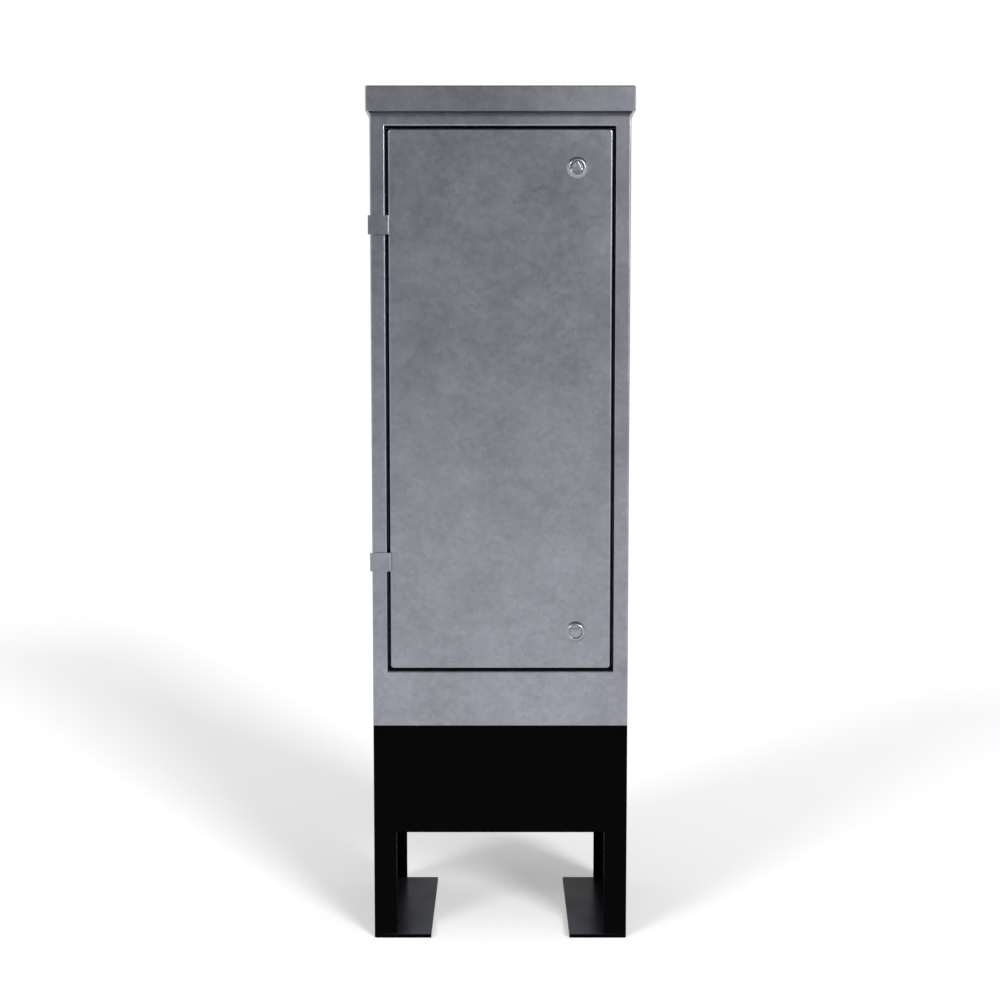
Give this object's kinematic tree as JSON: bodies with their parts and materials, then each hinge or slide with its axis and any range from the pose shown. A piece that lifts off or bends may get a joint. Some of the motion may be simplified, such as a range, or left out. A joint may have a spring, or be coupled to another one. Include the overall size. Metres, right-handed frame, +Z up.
{
  "type": "feeder pillar",
  "caption": "Tall galvanised sheet-steel street cabinet for cable connections, with a hinged door, triangular key locks, a folded canopy and a black root with foot plates.",
  "frame": {"origin": "on the ground, under the middle of the cabinet", "axes": "+X to the right seen from the door side, +Y to the back, +Z up"},
  "size_m": [0.41, 0.31, 1.33],
  "materials": {
    "galvanised_steel": "satin hot-dip galvanised, softly mottled",
    "bitumen_black": "black bitumen paint, satin",
    "cast_zinc": "satin cast zinc",
    "zinc_plated_steel": "bright zinc plate",
    "seal_foam": "matt closed-cell foam",
    "plywood": "plain exterior plywood",
    "earth_brass": "turned brass"
  },
  "bodies": {
    "cabinet": {"body_wrapper": "galvanised_steel", "front_frame": "galvanised_steel", "canopy": "galvanised_steel", "canopy_studs": "zinc_plated_steel", "canopy_washers": "zinc_plated_steel", "canopy_nuts": "zinc_plated_steel", "door_seal": "seal_foam", "backboard": "plywood", "backboard_studs": "zinc_plated_steel", "backboard_spacers": "zinc_plated_steel", "backboard_washers": "zinc_plated_steel", "backboard_nuts": "zinc_plated_steel", "body_earth_stud": "earth_brass", "body_earth_nuts": "earth_brass", "root_frame": "bitumen_black", "left_foot": "bitumen_black", "right_foot": "bitumen_black", "root_bolts": "zinc_plated_steel", "root_washers": "zinc_plated_steel", "root_nuts": "zinc_plated_steel", "upper_hinge_pocket": "galvanised_steel", "upper_hinge_pin": "zinc_plated_steel", "upper_hinge_washer": "zinc_plated_steel", "lower_hinge_pocket": "galvanised_steel", "lower_hinge_pin": "zinc_plated_steel", "lower_hinge_washer": "zinc_plated_steel"},
    "door": {"door_panel": "galvanised_steel", "door_stiffener": "galvanised_steel", "door_earth_stud": "earth_brass", "door_earth_nut": "earth_brass", "upper_hinge_arm": "galvanised_steel", "lower_hinge_arm": "galvanised_steel", "upper_lock_housing": "cast_zinc", "upper_lock_nut": "cast_zinc", "lower_lock_housing": "cast_zinc", "lower_lock_nut": "cast_zinc"},
    "upper_lock": {"upper_lock_spindle": "cast_zinc", "upper_lock_cam": "zinc_plated_steel", "upper_cam_bolt": "zinc_plated_steel"},
    "lower_lock": {"lower_lock_spindle": "cast_zinc", "lower_lock_cam": "zinc_plated_steel", "lower_cam_bolt": "zinc_plated_steel"}
  },
  "joints": [
    {"name": "door_swing", "type": "hinge", "parent": "cabinet", "child": "door", "pos_m": [-0.1935, -0.134, 0.862], "axis": [0, 0, -1], "range_deg": [0, 120]},
    {"name": "upper_lock_turn", "type": "hinge", "parent": "door", "child": "upper_lock", "pos_m": [0.1177, -0.13, 1.209], "axis": [0, -1, 0], "range_deg": [0, 90]},
    {"name": "lower_lock_turn", "type": "hinge", "parent": "door", "child": "lower_lock", "pos_m": [0.1177, -0.13, 0.492], "axis": [0, 1, 0], "range_deg": [0, 90]}
  ]
}
